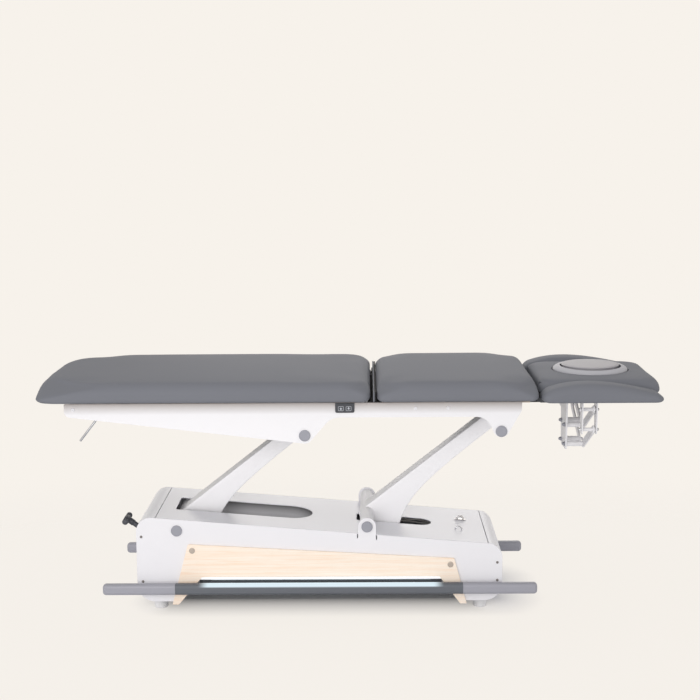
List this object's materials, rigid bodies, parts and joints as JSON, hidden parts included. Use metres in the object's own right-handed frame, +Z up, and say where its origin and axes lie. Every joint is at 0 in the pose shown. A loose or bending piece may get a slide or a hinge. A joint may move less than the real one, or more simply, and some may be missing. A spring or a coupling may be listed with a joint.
{
  "type": "treatment table",
  "caption": "Height-adjustable treatment table with a lifting leg section, a tilting head section with a face opening, drop armrests and a sheet-metal base on a parallelogram lift.",
  "frame": {"origin": "on the floor, under the middle of the table's length and width", "axes": "+X from the foot end to the head end, +Y to the right of a person lying face up, +Z up"},
  "size_m": [2, 0.66, 0.8134],
  "materials": {
    "white_paint": "satin powder coat",
    "grey_vinyl": "soft matt vinyl",
    "pale_cover": "satin moulded foam skin",
    "grey_plastic": "satin",
    "dark_plastic": "satin",
    "grey_bar": "satin powder coat",
    "pale_wood": "clear lacquer",
    "plywood": "raw",
    "zinc_steel": "zinc plated",
    "light_diffuser": "clear diffuser",
    "tyre_rubber": "matt"
  },
  "bodies": {
    "base": {"base_side_left": "white_paint", "base_side_right": "white_paint", "base_top": "white_paint", "base_end_foot": "white_paint", "base_end_head": "white_paint", "base_tray": "white_paint", "wood_panel_left": "pale_wood", "wood_panel_right": "pale_wood", "floor_foot_foot_left": "grey_plastic", "floor_foot_foot_right": "grey_plastic", "floor_foot_head_left": "grey_plastic", "floor_foot_head_right": "grey_plastic", "led_strip_left": "light_diffuser", "led_strip_right": "light_diffuser", "pivot_shaft_foot": "grey_plastic", "pivot_shaft_head": "grey_plastic", "actuator_body": "grey_plastic", "control_box": "dark_plastic", "cable_loop_near": "zinc_steel", "cable_loop_far": "zinc_steel", "mains_inlet": "dark_plastic"},
    "lift_arm_foot": {"lift_arm_foot": "white_paint"},
    "lift_arm_head": {"lift_arm_head": "white_paint"},
    "actuator_rod": {"actuator_rod": "zinc_steel"},
    "top_frame": {"frame_side_left": "white_paint", "frame_side_right": "white_paint", "frame_cross_foot": "white_paint", "frame_cross_mid": "white_paint", "frame_cross_head": "white_paint", "frame_shaft_foot": "grey_plastic", "frame_shaft_head": "grey_plastic", "mid_board": "plywood", "mid_pad": "grey_vinyl", "control_panel": "dark_plastic", "gas_spring_tube": "dark_plastic"},
    "leg_section": {"leg_pad": "grey_vinyl", "leg_board": "plywood", "leg_hinge_arm_left": "zinc_steel", "leg_hinge_arm_right": "zinc_steel"},
    "gas_rod": {"gas_spring_rod": "zinc_steel"},
    "release_lever": {"release_lever": "zinc_steel"},
    "head_section": {"head_pad": "grey_vinyl", "head_board": "plywood", "face_ring": "pale_cover", "armrest_hanger": "white_paint", "head_hinge_arm_left": "zinc_steel", "head_hinge_arm_right": "zinc_steel"},
    "face_plug": {"face_plug": "pale_cover"},
    "foot_bar_left": {"foot_bar_left": "grey_bar"},
    "foot_bar_right": {"foot_bar_right": "grey_bar"},
    "castor_lever": {"castor_lever": "dark_plastic"},
    "castor_wheels": {"castor_wheels": "tyre_rubber"},
    "upper_link_left": {"upper_link_left": "white_paint"},
    "lower_link_left": {"lower_link_left": "white_paint"},
    "armrest_left": {"armrest_bracket_left": "white_paint", "armrest_pad_left": "grey_vinyl"},
    "upper_link_right": {"upper_link_right": "white_paint"},
    "lower_link_right": {"lower_link_right": "white_paint"},
    "armrest_right": {"armrest_bracket_right": "white_paint", "armrest_pad_right": "grey_vinyl"}
  },
  "joints": [
    {"name": "lift", "type": "hinge", "parent": "base", "child": "lift_arm_foot", "pos_m": [-0.58111, 0, 0.28847], "axis": [0, -1, 0], "range_deg": [-32, 34]},
    {"name": "lift_head_arm", "type": "hinge", "parent": "base", "child": "lift_arm_head", "pos_m": [0.05439, 0, 0.29949], "axis": [0, -1, 0], "range_deg": [-32, 34]},
    {"name": "frame_level", "type": "hinge", "parent": "lift_arm_foot", "child": "top_frame", "pos_m": [-0.1455, 0, 0.62881], "axis": [0, -1, 0], "range_deg": [-34, 32]},
    {"name": "actuator_stroke", "type": "slide", "parent": "base", "child": "actuator_rod", "axis": [1, 0, 0], "range_m": [-0.0435, 0.0462]},
    {"name": "leg_tilt", "type": "hinge", "parent": "top_frame", "child": "leg_section", "pos_m": [0.0425, 0, 0.77281], "axis": [0, 1, 0], "range_deg": [0, 65]},
    {"name": "gas_spring_stroke", "type": "slide", "parent": "top_frame", "child": "gas_rod", "axis": [-0.9986, 0, 0.0531], "range_m": [0, 0.1426]},
    {"name": "release_pull", "type": "hinge", "parent": "leg_section", "child": "release_lever", "pos_m": [-0.8, -0.2, 0.71386], "axis": [0, 1, 0], "range_deg": [0, 20], "stiffness_Nm_per_rad": 3, "springref_deg": -8.59},
    {"name": "head_tilt", "type": "hinge", "parent": "top_frame", "child": "head_section", "pos_m": [0.6415, 0, 0.76531], "axis": [0, -1, 0], "range_deg": [-25, 30]},
    {"name": "face_plug_lift", "type": "slide", "parent": "head_section", "child": "face_plug", "axis": [0, 0, 1], "range_m": [0, 0.12]},
    {"name": "armrest_left_swing", "type": "hinge", "parent": "head_section", "child": "upper_link_left", "pos_m": [0.795, -0.04, 0.60881], "axis": [1, 0, 0], "range_deg": [0, 60]},
    {"name": "armrest_left_lower", "type": "hinge", "parent": "head_section", "child": "lower_link_left", "pos_m": [0.795, -0.04, 0.54231], "axis": [1, 0, 0], "range_deg": [0, 60]},
    {"name": "armrest_left_level", "type": "hinge", "parent": "upper_link_left", "child": "armrest_left", "pos_m": [0.795, -0.24, 0.70031], "axis": [1, 0, 0], "range_deg": [-60, 0]},
    {"name": "foot_bar_left_press", "type": "hinge", "parent": "base", "child": "foot_bar_left", "pos_m": [-0.1, -0.13, 0.0875], "axis": [1, 0, 0], "range_deg": [-4, 4], "stiffness_Nm_per_rad": 250, "springref_deg": -1.47},
    {"name": "armrest_right_swing", "type": "hinge", "parent": "head_section", "child": "upper_link_right", "pos_m": [0.795, 0.04, 0.60881], "axis": [-1, 0, 0], "range_deg": [0, 60]},
    {"name": "armrest_right_lower", "type": "hinge", "parent": "head_section", "child": "lower_link_right", "pos_m": [0.795, 0.04, 0.54231], "axis": [-1, 0, 0], "range_deg": [0, 60]},
    {"name": "armrest_right_level", "type": "hinge", "parent": "upper_link_right", "child": "armrest_right", "pos_m": [0.795, 0.24, 0.70031], "axis": [-1, 0, 0], "range_deg": [-60, 0]},
    {"name": "foot_bar_right_press", "type": "hinge", "parent": "base", "child": "foot_bar_right", "pos_m": [-0.1, 0.13, 0.0875], "axis": [-1, 0, 0], "range_deg": [-4, 4], "stiffness_Nm_per_rad": 250, "springref_deg": -1.47},
    {"name": "castor_lever_press", "type": "hinge", "parent": "base", "child": "castor_lever", "pos_m": [-0.57911, 0, 0.127], "axis": [0, -1, 0], "range_deg": [0, 30]},
    {"name": "castor_wheels_spin", "type": "hinge", "parent": "castor_lever", "child": "castor_wheels", "pos_m": [-0.65411, 0, 0.057], "axis": [0, 1, 0], "continuous": true}
  ],
  "couplings": [
    {"joint": "lift_head_arm", "follows": "lift", "ratio": 1},
    {"joint": "frame_level", "follows": "lift", "ratio": -1},
    {"joint": "actuator_stroke", "follows": "lift", "m_per_rad": 0.0772},
    {"joint": "gas_spring_stroke", "follows": "leg_tilt", "m_per_rad": 0.1255},
    {"joint": "armrest_left_lower", "follows": "armrest_left_swing", "ratio": 1},
    {"joint": "armrest_left_level", "follows": "armrest_left_swing", "ratio": -1},
    {"joint": "armrest_right_lower", "follows": "armrest_right_swing", "ratio": 1},
    {"joint": "armrest_right_level", "follows": "armrest_right_swing", "ratio": -1}
  ]
}
